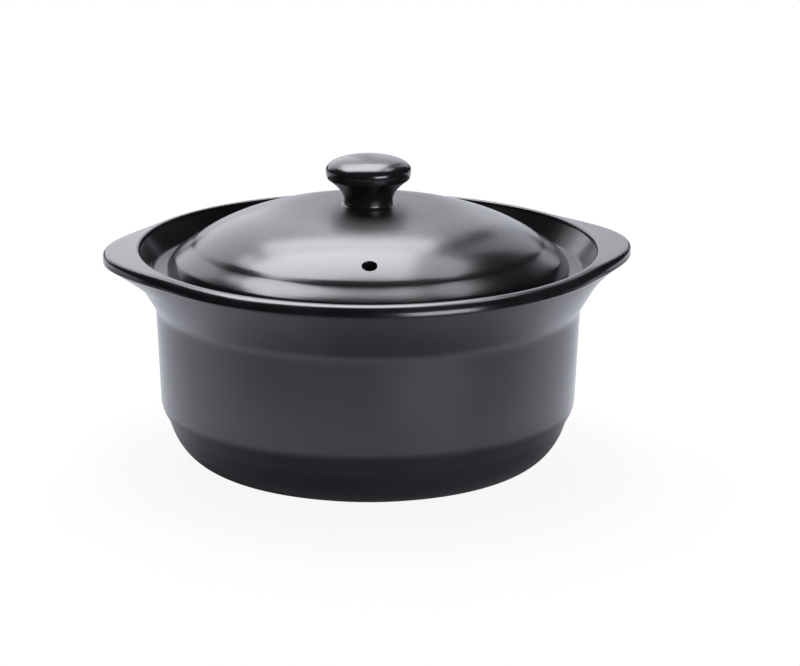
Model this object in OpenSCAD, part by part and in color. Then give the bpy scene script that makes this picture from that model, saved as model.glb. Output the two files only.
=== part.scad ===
// A small round clay cooking pot with a black glaze: a deep pot whose flared collar carries two flat ears,
// and a domed lid with a mushroom knob and one steam hole. The lid lies loose on a seat inside the collar.
// Millimetres. The foot stands on z = 0, the axis is Z, the ears lie along X and the front is -Y.

/* [Pot] */
// Height of the pot, from its foot to the crest of its rim
pot_h = 77; // [72:0.5:90]
// Inside diameter of the mouth
mouth_d = 160; // [158:0.5:166]
// Width of the rounded rim, from the mouth to its outer edge
rim_w = 4.6; // [4:0.1:6]
// Height of the rounded outer side of the rim
rim_h = 3.6; // [3:0.1:5]
// Radius of the rim's inner edge
lip_r = 0.9; // [0.5:0.1:1.5]
// Height of the flared collar, from its foot to the crest of the rim
collar_h = 20.5; // [17:0.5:24]
// Outer diameter of the wall where the collar springs from it
waist_d = 148.6; // [146:0.2:151]
// How much the wall's radius shrinks from the collar down to the hip
wall_draft = 1.5; // [0.5:0.1:4]
// Thickness of the wall
wall_t = 5.2; // [4:0.1:6]

/* [Bowl and foot] */
// Height of the hip, where the wall begins to turn in
hip_z = 23.2; // [21.6:0.2:30]
// Height of the crease where the turned-in wall meets the bowl
crease_z = 17; // [13:0.2:20]
// How far the crease lies inside the hip
crease_in = 2.5; // [1.5:0.1:4]
// Outer diameter of the foot
foot_d = 106; // [96:1:112]
// Width of the ring that the pot stands on
foot_w = 7; // [5:0.5:10]
// Depth of the hollow inside the foot ring
foot_hollow = 1.5; // [0.8:0.1:2.5]
// Height of the small step between the foot and the bowl
foot_step = 0.9; // [0.5:0.1:1.5]
// Thickness of the floor
floor_t = 5; // [4:0.1:7]

/* [Ears] */
// How far each ear reaches beyond the rim
ear_reach = 7.9; // [5:0.1:12]
// Half of the angle over which an ear grows out of the rim
ear_half = 33; // [26:1:40]
// Thickness of an ear at its edge
ear_t = 3.7; // [2.4:0.1:4.4]
// How far below the crest an ear's underside meets the collar
ear_root = 13.4; // [9:0.2:15]
// How far an ear's top lies below the crest of the rim
ear_drop = 0.15; // [0.1:0.05:0.4]
// Radius of the ear's upper edge
ear_edge = 1.3; // [0.8:0.1:1.6]

/* [Lid] */
// Outer diameter of the lid, over its rounded edge
lid_d = 141.4; // [139:0.2:145]
// Thickness of the lid
lid_t = 4.8; // [3.5:0.1:6]
// Height of the lid's widest line above the seat
edge_h = 1.5; // [1:0.1:2.5]
// Width of the rounded brim, from the swell of the bead to the edge
brim_w = 5.9; // [5:0.1:7]
// Distance from the dome's foot to the swell of the bead
bead_w = 2.8; // [2:0.1:4]
// How far the swell of the bead lies below the dome's foot
bead_drop = 1.65; // [1.2:0.05:2]
// Height of the dome's foot above the seat
dome_z = 8.7; // [8:0.1:12]
// Rise of the dome, from its foot to its crown
dome_rise = 14.3; // [8:0.1:20]
// How far the loose lid is turned in its seat, from the front
lid_turn = -6.5; // [-180:0.5:180]

/* [Steam hole] */
// Diameter of the steam hole
vent_d = 4.8; // [3:0.1:7]
// Distance of the steam hole from the lid's axis
vent_r = 53; // [30:0.5:54]

/* [Knob] */
// Height of the knob above the crown of the lid
knob_h = 16.9; // [14:0.1:24]
// Widest diameter of the knob's cap
knob_d = 29.8; // [26:0.2:36]
// Diameter of the knob's foot
knob_foot_d = 17.4; // [14:0.2:20]
// Height of the cap, from its lower edge to its top
cap_h = 7.8; // [6:0.1:9]

/* [Seat] */
// Depth of the lid's seat below the crest of the rim
seat_drop = 8; // [6.5:0.1:9]
// Width of the seat
seat_w = 6.5; // [5.5:0.1:8]
// Play between the lid's edge and the foot of the collar
lid_play = 4.1; // [2.5:0.1:5]
// Height of the glaze and grit between the seat and the lid
lid_gap = 0.1; // [0.05:0.05:0.3]

/* [Hidden] */
$fn = 192;
glaze = [0.09, 0.09, 0.10];

// Steps in an outline's curved stretches, in its small roundings, along the dome and along an ear
curve_n = 12;
small_n = 5;
dome_n = 24;
ear_n = 22;

// Pot. A point of an outline is a pair of radius and height.
rim_r = mouth_d / 2 + rim_w;
crest_r = mouth_d / 2 + lip_r;
rim_z = pot_h - rim_h;
rim_under = 0.3;                                  // overhang of the rim's lower edge over the collar
collar_top = [rim_r - rim_under, rim_z];
waist = [waist_d / 2, pot_h - collar_h];
waist_soft = 1.7;                                 // size of the soft corner where collar and wall meet
hip = [waist[0] - wall_draft, hip_z];
crease = [hip[0] - crease_in, crease_z];
foot_r = foot_d / 2;
toe = [foot_r + foot_step, foot_step];
floor_z = foot_hollow + floor_t;
floor_turn = 8;                                   // how far inside the foot's edge the flat of the floor ends
inner_turn = 4.4;                                 // how much higher than outside the wall turns in inside
seat_z = pot_h - seat_drop;
seat_r = lid_d / 2 + lid_play;
seat_in = seat_r - seat_w;
seat_soft = 1;                                    // size of the soft corners on both sides of the seat

// Ears
ear_sink = 0.5;                                   // how deep an ear's ends run into the rim before trimming
ear_bite = 2;                                     // how deep an ear's root runs into the collar before trimming
under_edge = 0.9;                                 // width of the soft lower edge

// Lid
lid_r = lid_d / 2;
lid_z = seat_z + lid_gap;
chamfer = 0.4;                                    // bevel of the lid's lower edge
dome_r = lid_r - brim_w - bead_w;
dome_foot = [dome_r, lid_z + dome_z];
bead = dome_foot + [bead_w, -bead_drop];
crown_z = dome_foot[1] + dome_rise;
hollow_over = 1.4;                                // how much wider the hollow is than the dome above it
hollow_r = dome_r + hollow_over;
hollow_z = lid_z + lid_t / 2;                     // height at which the hollow turns down to the brim
hollow_soft = 1.6;                                // width of that turn

// Knob
knob_r = knob_d / 2;
knob_foot_r = knob_foot_d / 2;
knob_top = crown_z + knob_h;
cap_in = 0.6;                                     // how far the cap's lower edge lies inside its widest line
cap_side = 2.9;                                   // height of the steep side between that edge and that line
cap_edge = [knob_r - cap_in, knob_top - cap_h];
cap_wide = [knob_r, cap_edge[1] + cap_side];

// A point between a and b, the share t of the way
function between(a, b, t) = a + (b - a) * t;

// Points on a cubic curve from a to d that leaves towards b and arrives from c
function curve(a, b, c, d, n) =
    [for (i = [0 : n]) let (t = i / n, u = 1 - t) a * u^3 + 3 * b * t * u^2 + 3 * c * t^2 * u + d * t^3];

// A curve from a to d whose two handles are shares of the way across and of the way up
function bend(a, d, out, in, n = curve_n) = let (s = d - a)
    curve(a, a + [s[0] * out[0], s[1] * out[1]], d - [s[0] * in[0], s[1] * in[1]], d, n);

// The corner at b, rounded off over the length size on its sides towards a and c
function corner(a, b, c, size, n = small_n) =
    curve(b + (a - b) * size / norm(a - b), b, b, b + (c - b) * size / norm(c - b), n);

// Points on an arc of an ellipse with centre c and half widths rx and rz, from angle a to angle b
function arc(c, rx, rz, a, b, n) =
    [for (i = [0 : n]) let (t = a + (b - a) * i / n) c + [rx * cos(t), rz * sin(t)]];

// An outline without points that repeat the one before
function clean(p) = [for (i = [0 : len(p) - 1]) if (i == 0 || norm(p[i] - p[max(i - 1, 0)]) > 0.01) p[i]];

// Pot

// The outside, from the foot up to the crest of the rim
function pot_outside() = concat(
    [[foot_r, 0], [foot_r + foot_step / 3, foot_step]],
    bend(toe, crease, [0.46, 0.03], [0.15, 0.61]),
    bend(crease, hip, [0.4, 0.26], [0.05, 0.45]),
    corner(hip, waist, collar_top, waist_soft),
    arc([crest_r, rim_z], rim_r - crest_r, rim_h, 0, 90, curve_n)
);

// The inside, from the crest of the rim down to the middle of the floor
function pot_inside() = let (mouth = [mouth_d / 2, pot_h - lip_r], inner_hip = hip + [-wall_t, inner_turn]) concat(
    arc([crest_r, pot_h - lip_r], lip_r, lip_r, 90, 180, small_n),
    corner(mouth, [seat_r, seat_z], [seat_in, seat_z], seat_soft),
    corner([seat_r, seat_z], [seat_in, seat_z], inner_hip, seat_soft),
    bend(inner_hip, [foot_r - floor_turn, floor_z], [0, 0.62], [0.7, 0]),
    [[0, floor_z]]
);

module pot_body() {
    color(glaze) rotate_extrude() polygon(clean(concat(
        [[0, foot_hollow], [foot_r - foot_w - foot_hollow, foot_hollow], [foot_r - foot_w, 0]],
        pot_outside(), pot_inside()
    )));
}

// Ears

// Share of its full reach that an ear has at the angle a from its middle: a swell that dies out in the rim
function swell(a) = (1 + cos(180 * a / ear_half)) / 2;

// Outer radius of the collar at the height z
function collar_r(z) = between(waist[0], collar_top[0], (z - waist[1]) / (rim_z - waist[1]));

// Outline of an ear at the angle a, as pairs of radius and height. At its ends it lies just inside the rim.
function ear_section(a) = let (
    w = swell(a),
    top = pot_h - ear_drop,
    reach = between(rim_r - ear_sink, rim_r + ear_reach, w),
    round_w = between(rim_r - ear_sink - crest_r, ear_edge, w),
    round_h = between(rim_h - ear_drop, ear_edge, w),
    low = between(rim_z - ear_sink / 2, top - ear_t, w),
    edge_w = between(ear_sink / 2, under_edge, w),
    edge_h = between(ear_sink / 4, under_edge / 2, w),
    root_z = between(rim_z - 2 * ear_sink, pot_h - ear_root, w)
) concat(
    [[collar_r(root_z) - ear_bite, root_z - ear_sink / 2], [crest_r + ear_sink, top]],
    arc([reach - round_w, top - round_h], round_w, round_h, 90, 0, small_n),
    arc([reach - edge_w, low + edge_h], edge_w, edge_h, 0, -75, 3)
);

// One ear, lofted through its sections and trimmed to the outside of the pot
module ear() {
    sections = [for (i = [0 : ear_n]) let (a = ear_half * (2 * i / ear_n - 1))
        [for (p = ear_section(a)) [p[0] * cos(a), p[0] * sin(a), p[1]]]];
    m = len(sections[0]);
    sides = [for (i = [0 : ear_n - 1], j = [0 : m - 1], k = [0, 1])
        let (a = i * m + j, b = i * m + (j + 1) % m, c = a + m, d = b + m) k == 0 ? [a, d, b] : [a, c, d]];
    ends = [[for (j = [0 : m - 1]) j], [for (j = [m - 1 : -1 : 0]) ear_n * m + j]];
    color(glaze) difference() {
        polyhedron([for (s = sections, p = s) p], concat(sides, ends), convexity = 4);
        rotate(90) rotate_extrude() polygon(clean(concat([[0, 0]], pot_outside(), [[0, pot_h]])));
    }
}

module left_ear() { mirror([1, 0, 0]) ear(); }
module right_ear() { ear(); }

// Lid

// Height and slope of the dome at the radius r: its fall grows half with the square, half with the fourth power
function dome_at(r) = let (t = r / dome_r) crown_z - dome_rise * (t^2 + t^4) / 2;
function dome_slope(r) = let (t = r / dome_r) atan(dome_rise * (t + 2 * t^3) / dome_r);

// Height of the hollow under the dome at the radius r
function hollow_at(r) = let (t = r / hollow_r) between(crown_z - lid_t, hollow_z, (t^2 + t^4) / 2);

// The lid's section, with a small flat for the knob on the crown. Between dome and brim it hardly flattens.
function lid_outline() = concat(
    [[0, dome_at(knob_foot_r)]],
    [for (i = [0 : dome_n]) let (r = between(knob_foot_r, dome_r, i / dome_n)) [r, dome_at(r)]],
    bend(dome_foot, bead, [0.32, 0.37], [0.32, 0.29], small_n),
    bend(bead, [lid_r, lid_z + edge_h], [0.41, 0.23], [0, 0.24]),
    [[lid_r, lid_z + chamfer], [lid_r - chamfer, lid_z]],
    bend([hollow_r + hollow_soft, lid_z], [hollow_r, hollow_z], [0.45, 0.05], [0.3, 0.45], small_n),
    [for (i = [1 : dome_n]) let (r = between(hollow_r, 0, i / dome_n)) [r, hollow_at(r)]]
);

module lid() {
    color(glaze) difference() {
        rotate_extrude() polygon(clean(lid_outline()));
        rotate(lid_turn) translate([0, -vent_r, dome_at(vent_r)]) rotate([dome_slope(vent_r), 0, 0])
            cylinder(d = vent_d, h = 4 * lid_t, center = true, $fn = 48);
    }
}

// Knob

// A waisted neck under a cap with one sharp lower edge and a soft, flat top
module knob() {
    foot_z = dome_at(knob_foot_r);
    color(glaze) rotate_extrude() polygon(clean(concat(
        [[0, foot_z]],
        bend([knob_foot_r, foot_z], cap_edge, [-0.12, 0.31], [0.93, 0.41]),
        bend(cap_edge, cap_wide, [0.6, 0.3], [0, 0.35], small_n),
        bend(cap_wide, [0, knob_top], [0, 0.61], [0.57, 0])
    )));
}

pot_body();
left_ear();
right_ear();
lid();
knob();
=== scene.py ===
import math

import bmesh
import bpy
from mathutils import Matrix, Vector


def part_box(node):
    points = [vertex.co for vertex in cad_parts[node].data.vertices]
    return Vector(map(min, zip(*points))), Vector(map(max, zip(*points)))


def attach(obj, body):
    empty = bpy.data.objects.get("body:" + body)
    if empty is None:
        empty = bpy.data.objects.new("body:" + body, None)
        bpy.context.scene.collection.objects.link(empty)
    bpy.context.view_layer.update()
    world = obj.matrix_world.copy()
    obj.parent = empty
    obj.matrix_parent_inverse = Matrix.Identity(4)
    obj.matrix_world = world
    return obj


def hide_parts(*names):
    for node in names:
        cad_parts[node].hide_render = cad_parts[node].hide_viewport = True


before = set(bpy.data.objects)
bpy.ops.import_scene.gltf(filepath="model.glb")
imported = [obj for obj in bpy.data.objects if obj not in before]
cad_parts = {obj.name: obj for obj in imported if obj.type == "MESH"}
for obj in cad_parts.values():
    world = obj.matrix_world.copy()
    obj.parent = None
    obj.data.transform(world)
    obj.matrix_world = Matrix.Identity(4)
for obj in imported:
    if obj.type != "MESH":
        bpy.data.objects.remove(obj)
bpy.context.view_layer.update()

mm = 0.001
scene = bpy.context.scene


# Wires and nodes

class Wire:  # an output socket; each operator on it adds a Math node
    def __init__(self, bench, socket):
        self.bench, self.socket = bench, socket

    def __add__(self, other):
        return self.bench.sum("ADD", self, other)

    def __radd__(self, other):
        return self.bench.sum("ADD", other, self)

    def __sub__(self, other):
        return self.bench.sum("SUBTRACT", self, other)

    def __rsub__(self, other):
        return self.bench.sum("SUBTRACT", other, self)

    def __mul__(self, other):
        return self.bench.sum("MULTIPLY", self, other)

    def __rmul__(self, other):
        return self.bench.sum("MULTIPLY", other, self)

    def __truediv__(self, other):
        return self.bench.sum("DIVIDE", self, other)

    def __pow__(self, other):
        return self.bench.sum("POWER", self, other)


class Bench:  # a node tree and the one method that fills it
    def __init__(self, tree):
        self.tree = tree

    # Gives the wire from one output, or a list where out is a tuple, which is empty for an end node
    def node(self, kind, settings=None, sockets=None, out=0):
        made = self.tree.nodes.new(kind)
        for name, value in (settings or {}).items():
            setattr(made, name, value)
        for name, value in (sockets or {}).items():
            if isinstance(value, Wire):
                self.tree.links.new(value.socket, made.inputs[name])
            else:
                made.inputs[name].default_value = value
        if isinstance(out, tuple):
            return [Wire(self, made.outputs[name]) for name in out]
        return Wire(self, made.outputs[out])

    def sum(self, operation, *terms):
        return self.node("ShaderNodeMath", {"operation": operation}, dict(enumerate(terms)))

    def mixed(self, share, first, second):  # two colours, which a Mix node takes at its sockets 6 and 7
        return self.node("ShaderNodeMix", {"data_type": "RGBA"}, {0: share, 6: first, 7: second}, out=2)

    def parts(self, vector):  # the three numbers of a vector
        return self.node("ShaderNodeSeparateXYZ", {}, {"Vector": vector}, out=("X", "Y", "Z"))

    def smooth(self, value, low, high):  # 0 below low, 1 above high, with soft ends
        return self.node("ShaderNodeMapRange", {"interpolation_type": "SMOOTHSTEP"},
                         {"Value": value, "From Min": low, "From Max": high}, out="Result")


# Camera, where the photograph was taken from

view = dict(
    turn=-7.0,         # degrees round the pot, from square on
    distance=1242.9,   # mm from the pot's axis
    height=385.4,      # mm above the floor
    down=15.30,        # degrees that it looks down
    swing=0.516,       # degrees that it looks to the right of the axis
    roll=-0.252,       # degrees
    lens=165.1,        # mm on a 36 mm sensor
)
viewTurn = Matrix.Rotation(math.radians(view["turn"]), 4, "Z")


def fromCamera(x, y, z):  # metres to the camera's right, away from it and up, as a point in the pot's frame
    return viewTurn @ Vector((x, y, z))


def makeCamera():
    swing, down, roll = (math.radians(view[name]) for name in ("swing", "down", "roll"))
    ahead = Vector((math.sin(swing) * math.cos(down), math.cos(swing) * math.cos(down), -math.sin(down)))
    right = Vector((math.cos(swing), -math.sin(swing), 0))
    up = right.cross(ahead)
    right, up = right * math.cos(roll) - up * math.sin(roll), right * math.sin(roll) + up * math.cos(roll)
    looking = Matrix((right, up, -ahead)).transposed().to_4x4()
    data = bpy.data.cameras.new("photoCamera")
    data.lens = view["lens"]
    data.clip_start, data.clip_end = 0.05, 30
    camera = bpy.data.objects.new("photoCamera", data)
    place = Vector((0, -view["distance"], view["height"])) * mm
    camera.matrix_world = viewTurn @ Matrix.Translation(place) @ looking
    scene.collection.objects.link(camera)
    scene.camera = camera


makeCamera()
print("camera placed")


# Glaze, and the bare clay that it leaves under the foot

glaze = dict(
    colour=(0.0050, 0.0050, 0.0062),    # the black under the gloss
    worn=(0.011, 0.0108, 0.0118),       # where it lies thinner
    cloud=(38, 3), cloudUp=1.2,         # slow changes in its thickness: scale, detail, share in the relief
    speck=(1400, 2), speckUp=0.6,       # fine pitting, the same
    ripple=(60, 1, (0.15, 0.15, 3)), rippleUp=1.5,    # faint rings from the forming wheel, and stretch
    thinFrom=(0.35, 0.75),              # values of the cloud between which it gets thinner
    ior=1.70,
    tint=(0.92, 0.92, 1.0),             # the cool cast of its sheen
    gloss=0.185,                        # roughness of the smooth places
    matt=0.05,                          # added where it lies thinner
    pitted=0.05,                        # added and taken away by the pitting
    dulled=0.19,                        # added round the knob, where fingers have dulled it
    dulledTo=(22, 43),                  # radii in mm between which that fades
    rubbed=0.22,                        # added on the seat, where the lid has rubbed it
    rubbedLow=(-0.6, -0.2), rubbedHigh=(0.2, 0.7),    # mm from the seat's height between which that fades
    rubbedOut=(0.7, 1.7),               # the same from its radius
    bump=0.35, bumpDeep=0.03,           # strength, and depth in mm
)
clay = dict(
    dark=(0.085, 0.062, 0.05), pale=(0.19, 0.15, 0.12), grain=(900, 3),
    rough=0.6,                          # added to the glaze's roughness
    upTo=(0.4, 0.9),                    # heights in mm between which the glaze begins
)


def glazeMaterial(name, ofPot=False, ofLid=False):
    material = bpy.data.materials.new(name)
    material.use_nodes = True
    bench = Bench(material.node_tree)
    shader = material.node_tree.nodes["Principled BSDF"]
    shader.inputs["IOR"].default_value = glaze["ior"]
    shader.inputs["Specular Tint"].default_value = (*glaze["tint"], 1)
    place = bench.node("ShaderNodeTexCoord", out="Object")
    x, y, height = bench.parts(place)
    radius = (x * x + y * y) ** 0.5

    def noise(scale, detail, stretch=(1, 1, 1)):
        at = bench.node("ShaderNodeVectorMath", {"operation": "MULTIPLY"}, {0: place, 1: stretch})
        return bench.node("ShaderNodeTexNoise", {}, {"Vector": at, "Scale": scale, "Detail": detail})

    def rise(value, span, start=0.0):  # 0 before the span and 1 after it, which is in mm from the start
        return bench.smooth(value, (start + span[0]) * mm, (start + span[1]) * mm)

    cloud, speck, ripple = (noise(*glaze[kind]) for kind in ("cloud", "speck", "ripple"))
    thin = bench.smooth(cloud, *glaze["thinFrom"])
    shade = bench.mixed(thin, (*glaze["colour"], 1), (*glaze["worn"], 1))
    rough = glaze["gloss"] + glaze["matt"] * thin + glaze["pitted"] * (speck - 0.5)
    if ofPot:  # the ring that it stands on is bare, and the seat of the lid is rubbed
        bare = 1 - rise(height, clay["upTo"])
        grain = bench.mixed(noise(*clay["grain"]), (*clay["dark"], 1), (*clay["pale"], 1))
        shade = bench.mixed(bare, shade, grain)
        seatZ = pot["tall"] - pot["seatDrop"]
        seat = rise(height, glaze["rubbedLow"], seatZ) - rise(height, glaze["rubbedHigh"], seatZ)
        seat = seat * (1 - rise(radius, glaze["rubbedOut"], pot["seat"]))
        rough = rough + bare * clay["rough"] + seat * glaze["rubbed"]
    if ofLid:
        rough = rough + glaze["dulled"] * (1 - rise(radius, glaze["dulledTo"]))
    relief = glaze["speckUp"] * speck + glaze["rippleUp"] * ripple + glaze["cloudUp"] * cloud
    bump = bench.node("ShaderNodeBump", {}, {"Strength": glaze["bump"], "Distance": glaze["bumpDeep"] * mm,
                                            "Height": relief}, out="Normal")
    for socket, wire in (("Base Color", shade), ("Roughness", rough), ("Normal", bump)):
        material.node_tree.links.new(wire.socket, shader.inputs[socket])
    print("glaze mixed:", name)
    return material


# Outlines, as pairs of radius and height in mm

def between(a, b, share):
    return a + (b - a) * share


def curve(a, b, c, d, steps):
    a, b, c, d = (Vector(point) for point in (a, b, c, d))
    points = []
    for step in range(steps + 1):
        t = step / steps
        points.append(a * (1 - t) ** 3 + 3 * b * t * (1 - t) ** 2 + 3 * c * t * t * (1 - t) + d * t ** 3)
    return points


def bend(a, d, out, into, steps):  # handles are shares of the way across and of the way up
    a, d = Vector(a), Vector(d)
    across, up = d - a
    first = a + Vector((across * out[0], up * out[1]))
    second = d - Vector((across * into[0], up * into[1]))
    return curve(a, first, second, d, steps)


def rounded(a, b, c, size, steps):  # the corner at b, rounded off towards a and c
    a, b, c = (Vector(point) for point in (a, b, c))
    return curve(b + (a - b).normalized() * size, b, b, b + (c - b).normalized() * size, steps)


def arc(centre, wide, tall, start, end, steps):
    turns = [math.radians(between(start, end, step / steps)) for step in range(steps + 1)]
    return [Vector((centre[0] + wide * math.cos(t), centre[1] + tall * math.sin(t))) for t in turns]


def line(a, b, steps):
    return [Vector(a).lerp(Vector(b), step / steps) for step in range(steps + 1)]


def joined(*stretches):  # one outline without points that repeat the one before
    points = []
    for point in (point for stretch in stretches for point in stretch):
        if not points or (point - points[-1]).length > 0.005:
            points.append(point)
    return points


# Turned pieces: an outline is turned round the Z axis, and may swell into a second outline at the two ears

def outlineObject(name, points):
    mesh = bpy.data.meshes.new(name)
    edges = [(i, i + 1) for i in range(len(points) - 1)]
    mesh.from_pydata([(r * mm, 0, z * mm) for r, z in points], edges, [])
    made = bpy.data.objects.new(name, mesh)
    scene.collection.objects.link(made)
    return made


def turningTree():
    tree = bpy.data.node_groups.new("turnedOnTheWheel", "GeometryNodeTree")
    kinds = {"Outline": "Object", "Ear Outline": "Object", "Steps Around": "Int", "Ear Half": "Float",
             "Uneven": "Float", "Seed": "Float", "Glaze": "Material"}
    for name, kind in kinds.items():
        tree.interface.new_socket(name, in_out="INPUT", socket_type="NodeSocket" + kind)
    tree.interface.new_socket("Turned", in_out="OUTPUT", socket_type="NodeSocketGeometry")
    bench = Bench(tree)
    given = dict(zip(kinds, bench.node("NodeGroupInput", out=tuple(kinds))))

    def outline(name):
        return bench.node("GeometryNodeObjectInfo", {"transform_space": "ORIGINAL"},
                          {"Object": given[name]}, out="Geometry")

    plain, eared = outline("Outline"), outline("Ear Outline")
    rows = bench.node("GeometryNodeAttributeDomainSize", {"component": "MESH"}, {"Geometry": plain},
                      out="Point Count")
    grid = bench.node("GeometryNodeMeshGrid", {}, {"Size X": rows - 1, "Size Y": 1.0, "Vertices X": rows,
                                                   "Vertices Y": given["Steps Around"] + 1}, out="Mesh")
    here = bench.node("GeometryNodeInputPosition")
    x, y, _ = bench.parts(here)
    row = bench.sum("FLOOR", x + (rows - 1) / 2 + 0.25)    # 0.25 keeps it clear of the row before
    turn = (y + 0.5) * math.tau
    cosine, sine = bench.sum("COSINE", turn), bench.sum("SINE", turn)

    def at(geometry):  # radius and height of the outline's point for this row
        point = bench.node("GeometryNodeSampleIndex", {"data_type": "FLOAT_VECTOR", "domain": "POINT"},
                           {"Geometry": geometry, "Value": here, "Index": row}, out="Value")
        r, _, z = bench.parts(point)
        return r, z

    def spot(r, z):
        return bench.node("ShaderNodeCombineXYZ", {}, {"X": cosine * r, "Y": sine * r, "Z": z})

    (r0, z0), (r1, z1) = at(plain), at(eared)
    # The ears lie on the X axis: the outline swells by the angle off the nearer one
    off = bench.sum("ARCTAN2", bench.sum("ABSOLUTE", sine), bench.sum("ABSOLUTE", cosine))
    share = bench.sum("MINIMUM", off / given["Ear Half"], 1.0)
    swell = (1 + bench.sum("COSINE", share * math.pi)) / 2
    radius, height = r0 + (r1 - r0) * swell, z0 + (z1 - z0) * swell
    # Slow waves of about 45 mm, as nothing thrown or pressed is quite round
    noise = bench.node("ShaderNodeTexNoise", {"noise_dimensions": "4D"}, {
        "Vector": spot(radius, height), "W": given["Seed"], "Scale": 22.0, "Detail": 0.0})
    fade = bench.sum("MINIMUM", radius * 50, 1.0)    # none at the axis itself, all of it past 20 mm
    radius = radius + given["Uneven"] * (noise - 1) * fade    # inwards only, to stay within the solid
    turned = bench.node("GeometryNodeSetPosition", {}, {"Geometry": grid, "Position": spot(radius, height)})
    turned = bench.node("GeometryNodeMergeByDistance", {}, {"Geometry": turned, "Distance": 1e-7})
    turned = bench.node("GeometryNodeSetShadeSmooth", {}, {"Geometry": turned, "Shade Smooth": True})
    turned = bench.node("GeometryNodeRealizeInstances", {}, {"Geometry": turned})
    turned = bench.node("GeometryNodeSetMaterial", {}, {"Geometry": turned, "Material": given["Glaze"]})
    bench.node("NodeGroupOutput", {}, {"Turned": turned}, out=())
    return tree


wheel = turningTree()


def facesOut(mesh):
    work = bmesh.new()
    work.from_mesh(mesh)
    bmesh.ops.recalc_face_normals(work, faces=work.faces)
    if work.calc_volume(signed=True) < 0:
        bmesh.ops.reverse_faces(work, faces=work.faces)
    work.to_mesh(mesh)
    work.free()


def turnedPiece(name, outline, material, around, uneven=0.0, seed=1.0, eared=None, earHalf=30.0):
    shapes = [outlineObject(name + "Outline", outline)]
    shapes.append(outlineObject(name + "EarOutline", eared) if eared else shapes[0])
    blank = bpy.data.objects.new(name, bpy.data.meshes.new(name))
    scene.collection.objects.link(blank)
    modifier = blank.modifiers.new("wheel", "NODES")
    modifier.node_group = wheel
    values = {"Outline": shapes[0], "Ear Outline": shapes[1], "Steps Around": around,
              "Ear Half": math.radians(earHalf), "Uneven": uneven * mm, "Seed": seed, "Glaze": material}
    for item in wheel.interface.items_tree:
        if item.name in values:
            modifier[item.identifier] = values[item.name]
    depsgraph = bpy.context.evaluated_depsgraph_get()
    mesh = bpy.data.meshes.new_from_object(blank.evaluated_get(depsgraph), depsgraph=depsgraph)
    blank.modifiers.remove(modifier)
    blank.data = mesh
    for shape in set(shapes):
        bpy.data.objects.remove(shape)
    facesOut(mesh)
    return blank


# The pot with its two luted ears under one coat of glaze
# What ends in Bend holds a curve's two handles, as bend() takes them, here and at the lid and the knob

pot = dict(
    around=320,            # faces round it
    uneven=0.16, seed=3.0,               # how far at most it falls short of a true circle, in mm
    tall=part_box("pot_body")[1].z / mm,
    mouth=80.0,            # inside radius of the mouth
    rimWide=4.6, rimTall=3.6, lip=0.9,   # the rounded rim, highest a lip's width out from the mouth
    underRim=0.3,          # overhang of the rim over the collar
    collarTall=20.5, waist=74.3, waistSoft=4.0,      # from the top down to where collar and wall meet
    draft=1.5, wall=5.2,   # the wall leans in by the draft on its way down to the hip
    straight=0.84,         # share of the wall that is straight, below its soft corner with the collar
    hip=23.2, crease=17.0,               # heights where the wall turns in and where the bowl begins
    creaseIn=2.5, creaseSoft=0.5,
    bowlBend=((0.46, 0.03), (0.15, 0.61)), creaseBend=((0.4, 0.26), (0.05, 0.45)),
    foot=53.0, footWide=7.0, footStep=0.9,
    footHollow=1.5, footSlope=1.5,       # height of the hollow in the foot ring, width of its sloping side
    footSoft=(0.5, 0.4, 0.35, 0.2),      # roundings of the ring's corners, from the hollow outwards
    footShort=(0.7, 0.6, 0.5),           # how far the flat stretches beside them stop short of the corners
    floor=5.0, floorTurn=8.0, floorBend=((0, 0.62), (0.7, 0)),
    innerTurn=4.4,         # how much higher than outside the wall turns in inside
    seatDrop=8.0, seat=74.8, seatWide=6.5, seatSoft=1.0, seatShort=1.2,
    neckShare=0.85,        # share of the way from the mouth down to the seat that is straight
    skip=0.05,             # share of the inner wall that the seat's rounding takes
)
ears = dict(
    reach=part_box("right_ear")[1].x / mm,
    half=33.0,             # half of the angle in degrees over which an ear grows out of the rim
    thick=3.8, drop=0.15, edge=1.3, under=0.9,
    root=11.8,             # how far below the rim its underside leaves the collar
    rootShare=0.97, rootSoft=0.05,       # where just below that it starts to turn out, and how softly
    flatTo=1.5,            # how far inside the rim's radius its flat top ends
)


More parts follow.
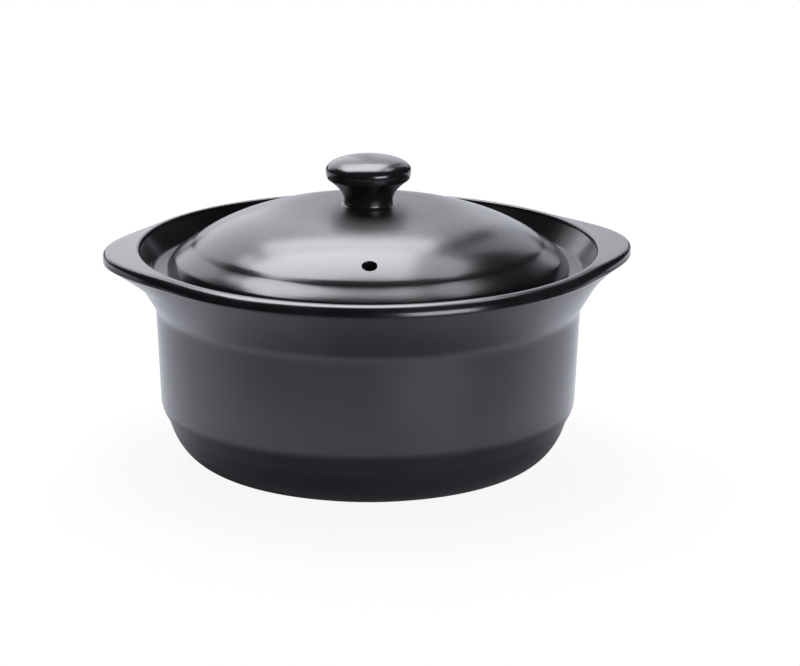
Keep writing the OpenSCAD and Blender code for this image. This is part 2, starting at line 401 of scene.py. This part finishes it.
def potOutlines():
    p, e = pot, ears
    tall, rim, crest = p["tall"], p["mouth"] + p["rimWide"], p["mouth"] + p["lip"]
    foot, step, hollow = p["foot"], p["footStep"], p["footHollow"]
    rimZ, floor = tall - p["rimTall"], hollow + p["floor"]
    waist = Vector((p["waist"], tall - p["collarTall"]))
    hip = Vector((p["waist"] - p["draft"], p["hip"]))
    crease = Vector((hip.x - p["creaseIn"], p["crease"]))
    collarTop = Vector((rim - p["underRim"], rimZ))

    # From the middle of the underside up to the corner between wall and collar
    middle, ringIn, ringOut = Vector((0, hollow)), Vector((foot - p["footWide"], 0)), Vector((foot, 0))
    slope = Vector((ringIn.x - p["footSlope"], hollow))
    stepIn, stepOut = Vector((foot + step / 3, step)), Vector((foot + step, step))
    soft, short = p["footSoft"], [Vector((size, 0)) for size in p["footShort"]]
    bowl = bend(stepOut, crease, *p["bowlBend"], 30)
    overCrease = bend(crease, hip, *p["creaseBend"], 22)
    below = joined(
        line(middle, slope - short[0], 6),
        rounded(middle, slope, ringIn, soft[0], 3),
        rounded(slope, ringIn, ringOut, soft[1], 4),
        line(ringIn + short[1], ringOut - short[2], 4),
        rounded(ringIn, ringOut, stepIn, soft[2], 5),
        rounded(ringOut, stepIn, stepOut, soft[3], 3),
        bowl[1:-1],
        rounded(bowl[-2], crease, overCrease[1], p["creaseSoft"], 5),
        overCrease[1:-1],
        line(hip, hip.lerp(waist, p["straight"]), 21),
    )

    # The collar and the rim have as many points in both outlines, so that one swells into the other
    plain = joined(rounded(hip, waist, collarTop, p["waistSoft"], 8))
    eared = list(plain)
    start = plain[-1]
    plain += line(start, collarTop, 25)[1:] + arc((crest, rimZ), rim - crest, p["rimTall"], 0, 90, 24)
    rootZ = tall - e["root"]
    root = Vector((between(waist.x, collarTop.x, (rootZ - waist.y) / (rimZ - waist.y)), rootZ))
    reach, top, flatR = e["reach"], tall - e["drop"], rim - e["flatTo"]
    under = Vector((reach - e["under"], top - e["thick"]))
    leave = start.lerp(root, e["rootShare"])
    eared += line(start, leave, 9)[1:]
    eared += curve(leave, root, root.lerp(under, e["rootSoft"]), under, 16)[1:]
    eared += arc((reach - e["under"], under.y + e["under"] / 2), e["under"], e["under"] / 2, -75, 0, 6)
    eared += arc((reach - e["edge"], top - e["edge"]), e["edge"], e["edge"], 0, 90, 10)
    eared += line((reach - e["edge"], top), (flatR, top), 4)[1:] + line((flatR, top), (crest, tall), 3)[1:]

    # From the rim in over the seat and down to the middle of the floor
    mouth, seat = Vector((p["mouth"], tall - p["lip"])), Vector((p["seat"], tall - p["seatDrop"]))
    seatIn = Vector((p["seat"] - p["seatWide"], seat.y))
    seatShort = Vector((p["seatShort"], 0))
    innerHip = Vector((hip.x - p["wall"], hip.y + p["innerTurn"]))
    floorOut = Vector((foot - p["floorTurn"], floor))
    inside = joined(
        arc((crest, mouth.y), p["lip"], p["lip"], 90, 180, 8),
        line(mouth, mouth.lerp(seat, p["neckShare"]), 12),
        rounded(mouth, seat, seatIn, p["seatSoft"], 6),
        line(seat - seatShort, seatIn + seatShort, 5),
        rounded(seat, seatIn, innerHip, p["seatSoft"], 6),
        line(seatIn.lerp(innerHip, p["skip"]), innerHip, 18),
        bend(innerHip, floorOut, *p["floorBend"], 30)[1:],
        line(floorOut, (0, floor), 10)[1:],
    )[1:]
    return below + plain + inside, below + eared + inside


def makePot():
    plain, eared = potOutlines()
    made = turnedPiece("glazedPot", plain, glazeMaterial("potGlaze", ofPot=True), pot["around"],
                       uneven=pot["uneven"], seed=pot["seed"], eared=eared, earHalf=ears["half"])
    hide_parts("pot_body", "left_ear", "right_ear")
    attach(made, "pot")
    print("pot turned:", len(made.data.polygons), "faces")


makePot()


# The lid, with its steam hole

lid = dict(
    around=288,                            # faces round it
    edge=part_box("lid")[1].x / mm - 0.6,    # radius of its rounded edge, just inside the solid's
    low=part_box("lid")[0].z / mm,
    domeOut=62.0, domeUp=8.7, domeRise=14.3,
    dome=59.3,                             # radius where the dome turns down into the groove
    groove=(61.2, 9.05), bead=(64.6, 6.85), shoulder=(67.7, 4.8),    # radius, height above its lower edge
    grooveBend=((0.35, 0.30), (0.25, 0.28)), beadBend=((0.18, 0.22), (0.45, 0.43)),
    shoulderBend=((0.3, 0.282), (0.25, 0.28)), hollowBend=((0.45, 0.05), (0.3, 0.45)),
    edgeTall=1.5, edgeSoft=1.5, sideSoft=0.7, lowSoft=0.6,           # its edge, and the roundings there
    thick=4.8, hollowOver=1.4, hollowSoft=1.6,
    turn=-6.5,             # degrees that the loose lid is turned in its seat
    hole=2.4, holeOut=53.0, holeSoft=0.45,                           # the steam hole's radius and place
)
domeR = lid["domeOut"]
hollowR = domeR + lid["hollowOver"]
crown = lid["low"] + lid["domeUp"] + lid["domeRise"]


def domeAt(r):
    t = r / domeR
    return crown - lid["domeRise"] * (t ** 2 + t ** 4) / 2


def hollowAt(r):
    t = r / hollowR
    return between(crown - lid["thick"], lid["low"] + lid["thick"] / 2, (t ** 2 + t ** 4) / 2)


def lidOutline():
    low, edge, dome = lid["low"], lid["edge"], lid["dome"]
    turns = (lid["groove"], lid["bead"], lid["shoulder"])
    groove, bead, shoulder = (Vector((r, low + up)) for r, up in turns)
    side, corner = Vector((edge, low + lid["edgeTall"])), Vector((edge, low))
    hollowLow = Vector((hollowR + lid["hollowSoft"], low))
    hollowUp = Vector((hollowR, low + lid["thick"] / 2))
    brim = bend(bead, shoulder, *lid["shoulderBend"], 12)[:7]    # up to where the shoulder is rounded
    shares = [step / 60 for step in range(61)]
    return joined(
        [Vector((r, domeAt(r))) for r in (dome * share for share in shares)],
        bend((dome, domeAt(dome)), groove, *lid["grooveBend"], 10),
        bend(groove, bead, *lid["beadBend"], 16),
        brim[1:],
        rounded(brim[-1], shoulder, side, lid["edgeSoft"], 10),
        rounded(shoulder, side, corner, lid["sideSoft"], 6),
        rounded(side, corner, hollowLow, lid["lowSoft"], 6),
        bend(hollowLow, hollowUp, *lid["hollowBend"], 8),
        [Vector((r, hollowAt(r))) for r in (hollowR * (1 - share) for share in shares)],
    )


# Opens the steam hole: a patch on each side becomes rings that run in to a round, soft-edged bore
def drill(mesh):
    turn, holeR = math.radians(lid["turn"]), lid["holeOut"]
    hole, soft = lid["hole"] * mm, lid["holeSoft"] * mm
    reach = 2.6 * lid["hole"]    # half of the patch's width
    ahead = Vector((math.sin(turn), -math.cos(turn), 0))
    across = Vector((math.cos(turn), math.sin(turn), 0))
    slope = math.atan(domeAt(holeR - 0.5) - domeAt(holeR + 0.5))    # its fall over 1 mm, as an angle
    axis = ahead * math.sin(slope) + Vector((0, 0, math.cos(slope)))
    uphill = across.cross(axis) * -1
    top = (ahead * holeR + Vector((0, 0, domeAt(holeR)))) * mm
    work = bmesh.new()
    work.from_mesh(mesh)
    work.normal_update()

    def around(point):  # the angle of a point as seen along the bore
        off = point - top
        return math.atan2(off.dot(across), off.dot(uphill))

    def outwards(vert):
        angle = around(vert.co)
        return across * math.sin(angle) + uphill * math.cos(angle)

    def border(middleR, outer):  # takes out the faces round the bore and returns the edge of the gap
        chosen = set()
        for face in work.faces:
            middle = face.calc_center_median()
            aside = math.atan2(middle.dot(across), middle.dot(ahead)) * middleR
            near = abs(middle.xy.length / mm - middleR) < reach and abs(aside) < reach
            if near and outer == (face.normal.z > 0):
                chosen.add(face)
        edges = {edge for face in chosen for edge in face.edges}
        edges = [edge for edge in edges if len(chosen.intersection(edge.link_faces)) == 1]
        verts = {vert for edge in edges for vert in edge.verts}
        bmesh.ops.delete(work, geom=list(chosen), context="FACES")
        return sorted(verts, key=lambda vert: around(vert.co))

    def onSurface(loop, share, surface):  # a ring between the gap's edge and the rim of the bore
        ring = []
        for vert in loop:
            spot = vert.co.lerp(top + outwards(vert) * (hole + soft), share)
            for _ in range(4):  # slides along the bore's axis on to the surface
                spot += axis * ((surface(spot.xy.length / mm) * mm - spot.z) * math.cos(slope))
            ring.append(work.verts.new(spot))
        return ring

    def inBore(loop, radius, depth):
        return [work.verts.new(top + outwards(vert) * radius + axis * depth) for vert in loop]

    def skin(rings):
        for first, second in zip(rings, rings[1:]):
            for i in range(len(first)):
                j = (i + 1) % len(first)
                work.faces.new((first[i], first[j], second[j], second[i]))

    thick = (domeAt(holeR) - hollowAt(holeR)) * math.cos(slope) * mm
    loop, below = border(holeR, True), border(holeR - thick / mm * math.sin(slope), False)
    rings = [loop] + [onSurface(loop, share, domeAt) for share in (0.3, 0.6, 0.82, 1.0)]
    for angle in (25, 50, 70, 90):    # over the bore's soft edge
        t = math.radians(angle)
        rings.append(inBore(loop, hole + soft * (1 - math.sin(t)), -soft * (1 - math.cos(t))))
    rings += [inBore(loop, hole, -thick * depth) for depth in (0.3, 0.6, 0.85)]
    under = [below] + [onSurface(below, share, hollowAt) for share in (0.35, 0.7, 1.0)]
    skin(rings)
    skin(under)
    ends = []
    for ring in (rings[-1], under[-1]):
        ends += [work.edges.get((ring[i - 1], ring[i])) for i in range(len(ring))]
    bmesh.ops.bridge_loops(work, edges=ends)
    work.faces.ensure_lookup_table()
    for face in work.faces:
        face.smooth, face.material_index = True, work.faces[0].material_index
    bmesh.ops.recalc_face_normals(work, faces=work.faces)
    print("steam hole drilled, open edges:", sum(not edge.is_manifold for edge in work.edges))
    work.to_mesh(mesh)
    work.free()


def makeLid():
    made = turnedPiece("glazedLid", lidOutline(), glazeMaterial("lidGlaze", ofLid=True), lid["around"])
    drill(made.data)
    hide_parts("lid")
    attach(made, "lid")
    print("lid turned:", len(made.data.polygons), "faces")


makeLid()


# The knob, luted to the crown

knob = dict(
    around=160,            # faces round it
    wide=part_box("knob")[1].x / mm,       # its greatest radius
    top=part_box("knob")[1].z / mm,
    foot=8.7,              # radius where the neck meets the lid
    capTall=7.8, capIn=0.6, capSide=2.9, edgeSoft=0.22,    # the cap, its lower edge and its side
    neckBend=((-0.12, 0.31), (0.93, 0.41)), sideBend=((0.6, 0.3), (0, 0.35)),
    topBend=((0, 0.61), (0.57, 0)),
    fillet=0.75,           # the small roll of glaze round its foot
    filletIn=0.6, filletBulge=0.12, filletUp=0.35,    # how far it goes in, rises and goes up the neck
    sunk=0.3, tuck=0.1,    # how far the underside and the roll's edge lie inside the lid
)


def makeKnob():
    k = knob
    foot, fillet, low = k["foot"], k["fillet"], domeAt(k["foot"])
    edge = Vector((k["wide"] - k["capIn"], k["top"] - k["capTall"]))
    wide = Vector((k["wide"], edge.y + k["capSide"]))
    roll = Vector((foot + fillet, domeAt(foot + fillet)))
    neck = bend((foot, low), edge, *k["neckBend"], 40)
    side = bend(edge, wide, *k["sideBend"], 10)
    start = next(i for i, point in enumerate(neck) if point.y > low + fillet)
    inwards = roll + Vector((-fillet * k["filletIn"], k["filletBulge"]))
    upwards = Vector((neck[start].x, low + fillet * k["filletUp"]))
    outline = joined(
        line((0, low - k["sunk"]), (roll.x - k["sunk"], low - k["sunk"]), 4),
        [roll - Vector((0, k["tuck"]))],
        curve(roll, inwards, upwards, neck[start], 8),
        neck[start + 1:-1],
        rounded(neck[-2], edge, side[1], k["edgeSoft"], 5),
        side[1:-1],
        bend(wide, (0, k["top"]), *k["topBend"], 40),
    )
    made = turnedPiece("glazedKnob", outline, glazeMaterial("knobGlaze"), k["around"])
    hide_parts("knob")
    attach(made, "lid")
    print("knob turned:", len(made.data.polygons), "faces")


makeKnob()


# The room: a pale floor, dark cloths and softboxes, all in metres

room = dict(
    own=0.35,                      # strength of the room's own light on the pot
    sheen=(0.955, 0.975, 1.07),    # its colour as the glaze mirrors it
)
paleFloor = dict(
    radius=6.0, sides=96,
    sunk=0.0001,                   # how far it lies under the foot, so that the two don't mix
    pale=0.85, paintedShade=0.42,         # how light its paper is, and how light it is close to the foot, where painted shade darkens it
    paintedShadeTo=(0.075, 0.11),         # distances from the pot's axis between which that painted shade gives way to the plain paper
    plainWhite=(0.085, 0.20),      # the same for its turning plain white
    closeWhite=0.92,               # share of plain white that the camera sees nearer than that
    paintedDim=0.38, paintedDimFrom=(0, 0.14),   # painted shade: how much darker the floor is to glossy rays in front of the pot, so that the glaze mirrors it darker
    paintedPool=(0.076, -0.200), paintedPoolTo=(0.01, 0.11),        # painted light: a pool in there that stays light to glossy rays, mirrored by the glaze as a soft light patch on the wall, and how it fades
    endsOut=(0.25, 0.33), endsBack=(-0.28, -0.14),    # painted darkness: past these the floor is black to glossy rays only, so the glaze mirrors it black
)
cloths = dict(
    radius=2.2, low=0.02, tall=2.6,
    first=-141, last=152,          # degrees round the pot, from the camera to its right
    wings=((152, 164, 0.32), (-163, -141, 0.30)), wingRadius=1.5,    # low ones past both ends, and how tall
    strip=((0.25, 0.78), (0.37, 0.78), (0.66, 2.0), (0.54, 2.0)), stripUp=1.0,    # at the back right
    colour=(0.012, 0.012, 0.013), rough=0.9,
)
softboxes = dict(    # at is to the camera's right, away from it and up; all but the level ones point at aim
    key=dict(at=(-0.195, 0.40, 1.0), size=(0.79, 0.52), power=9.4, level=True),
    fade=dict(at=(0.34, 0.42, 1.0), size=(0.28, 0.46), power=1.3, level=True),
    upper=dict(at=(-0.10, 0.88, 1.0), size=(0.72, 0.44), power=4.4, level=True),
    side=dict(at=(-0.60, 0.78, 1.0), size=(0.14, 0.30), power=0.5, level=True),
    back=dict(at=(-0.75, 1.65, 0.82), size=(1.5, 1.1), power=4.1, level=False),
    right=dict(at=(0.22, 1.75, 0.85), size=(0.42, 1.1), power=0.5, level=False),
    front=dict(at=(0.48, -0.72, 0.30), size=(0.48, 0.48), power=4.2, level=False),
)
aim = (0, 0, 0.07)    # the lid


def floorMaterial():
    look, sheen = paleFloor, room["sheen"]
    material = bpy.data.materials.new("paleFloor")
    material.use_nodes = True
    material.node_tree.nodes.clear()
    bench = Bench(material.node_tree)
    x, y, _ = bench.parts(bench.node("ShaderNodeTexCoord", out="Object"))
    away, front = (x * x + y * y) ** 0.5, 0 - y
    # Where the painted pool of light lies, which the glaze mirrors as a light patch on the wall
    poolX, poolY = look["paintedPool"]
    offPool = ((x - poolX) ** 2 + (y - poolY) ** 2) ** 0.5
    far = bench.smooth(away, *look["plainWhite"])
    camera, glossy = bench.node("ShaderNodeLightPath", out=("Is Camera Ray", "Is Glossy Ray"))
    # The paper's colour carries painted shade: it is darker close to the foot, deepening the pot's own
    # shadow there
    paintedShade, pale = ([look[name] * part for part in sheen] + [1] for name in ("paintedShade", "pale"))
    shade = bench.mixed(bench.smooth(away, *look["paintedShadeTo"]), paintedShade, pale)
    paper = bench.node("ShaderNodeBsdfDiffuse", {}, {"Color": shade})
    # Painted shade in the glaze's reflection: to glossy rays the floor dims in front of the pot, except in
    # a painted pool of light
    paintedDim = look["paintedDim"] * bench.smooth(front, *look["paintedDimFrom"]) * bench.smooth(offPool, *look["paintedPoolTo"])
    # Painted darkness in the glaze's reflection: past these the floor is black to glossy rays only
    end = bench.smooth(front, *look["endsBack"]) * bench.smooth(away, *look["endsOut"])
    dark = glossy * bench.sum("MAXIMUM", paintedDim, end)
    colour = bench.mixed(dark, bench.mixed(glossy, (1, 1, 1, 1), (*sheen, 1)), (0, 0, 0, 1))
    white = bench.node("ShaderNodeEmission", {}, {"Color": colour})
    share = bench.sum("MAXIMUM", far * glossy, camera * bench.sum("MAXIMUM", far, look["closeWhite"]))
    surface = bench.node("ShaderNodeMixShader", {}, {0: share, 1: paper, 2: white})
    bench.node("ShaderNodeOutputMaterial", {}, {"Surface": surface}, out=())
    return material


def makeFloor():
    mesh = bpy.data.meshes.new("floor")
    work = bmesh.new()
    bmesh.ops.create_circle(work, cap_ends=True, segments=paleFloor["sides"], radius=paleFloor["radius"])
    bmesh.ops.translate(work, verts=work.verts, vec=(0, 0, -paleFloor["sunk"]))
    work.to_mesh(mesh)
    work.free()
    mesh.materials.append(floorMaterial())
    floor = bpy.data.objects.new("floor", mesh)
    scene.collection.objects.link(floor)


def clothMaterial():
    material = bpy.data.materials.new("darkCloth")
    material.use_nodes = True
    shader = material.node_tree.nodes["Principled BSDF"]
    shader.inputs["Base Color"].default_value = (*cloths["colour"], 1)
    shader.inputs["Roughness"].default_value = cloths["rough"]
    return material


# They hang in front, at both sides and overhead, unseen by the camera, and keep the glaze black
def makeCloths():
    verts, faces = [], []

    def hang(radius, first, last, tall, steps):  # an upright cloth, bent round the pot
        for step in range(steps + 1):
            turn = math.radians(between(first, last, step / steps))
            for z in (cloths["low"], tall):
                verts.append(fromCamera(math.sin(turn) * radius, -math.cos(turn) * radius, z))
            if step:
                faces.append([len(verts) - back for back in (4, 3, 1, 2)])

    hang(cloths["radius"], cloths["first"], cloths["last"], cloths["tall"], 60)
    faces.append(list(range(1, len(verts), 2)))    # the one overhead, between the upper edge's corners
    faces.append([len(verts) + corner for corner in range(4)])
    verts += [fromCamera(x, y, cloths["stripUp"]) for x, y in cloths["strip"]]
    for first, last, tall in cloths["wings"]:
        hang(cloths["wingRadius"], first, last, tall, 6)
    mesh = bpy.data.meshes.new("darkScreen")
    mesh.from_pydata(verts, [], faces)
    mesh.materials.append(clothMaterial())
    screen = bpy.data.objects.new("darkScreen", mesh)
    scene.collection.objects.link(screen)
    screen.visible_camera = False
    screen.visible_diffuse = False
    screen.visible_shadow = False


def makeSoftbox(name, at, size, power, level):
    data = bpy.data.lights.new(name + "Softbox", "AREA")
    data.shape = "RECTANGLE"
    data.size, data.size_y = size
    data.energy = power
    light = bpy.data.objects.new(name + "Softbox", data)
    light.location = fromCamera(*at)
    light.rotation_mode = "QUATERNION"
    if level:
        light.rotation_quaternion = viewTurn.to_quaternion()
    else:
        light.rotation_quaternion = (Vector(aim) - light.location).normalized().to_track_quat("-Z", "Y")
    light.visible_camera = False
    scene.collection.objects.link(light)


def makeRoom():
    world = bpy.data.worlds.new("room")
    scene.world = world
    world.use_nodes = True
    world.node_tree.nodes.clear()
    bench = Bench(world.node_tree)
    rays = tuple(f"Is {kind} Ray" for kind in ("Camera", "Glossy", "Transmission"))
    camera, glossy, through = bench.node("ShaderNodeLightPath", out=rays)
    seen = bench.sum("MAXIMUM", camera, bench.sum("MAXIMUM", glossy, through))
    strength = room["own"] + (1 - room["own"]) * seen
    colour = bench.mixed(glossy, (1, 1, 1, 1), (*room["sheen"], 1))
    light = bench.node("ShaderNodeBackground", {}, {"Color": colour, "Strength": strength})
    bench.node("ShaderNodeOutputWorld", {}, {"Surface": light}, out=())


makeFloor()
makeCloths()
for name, softbox in softboxes.items():
    makeSoftbox(name, **softbox)
makeRoom()
scene.view_settings.view_transform = "Standard"
print("studio lit")
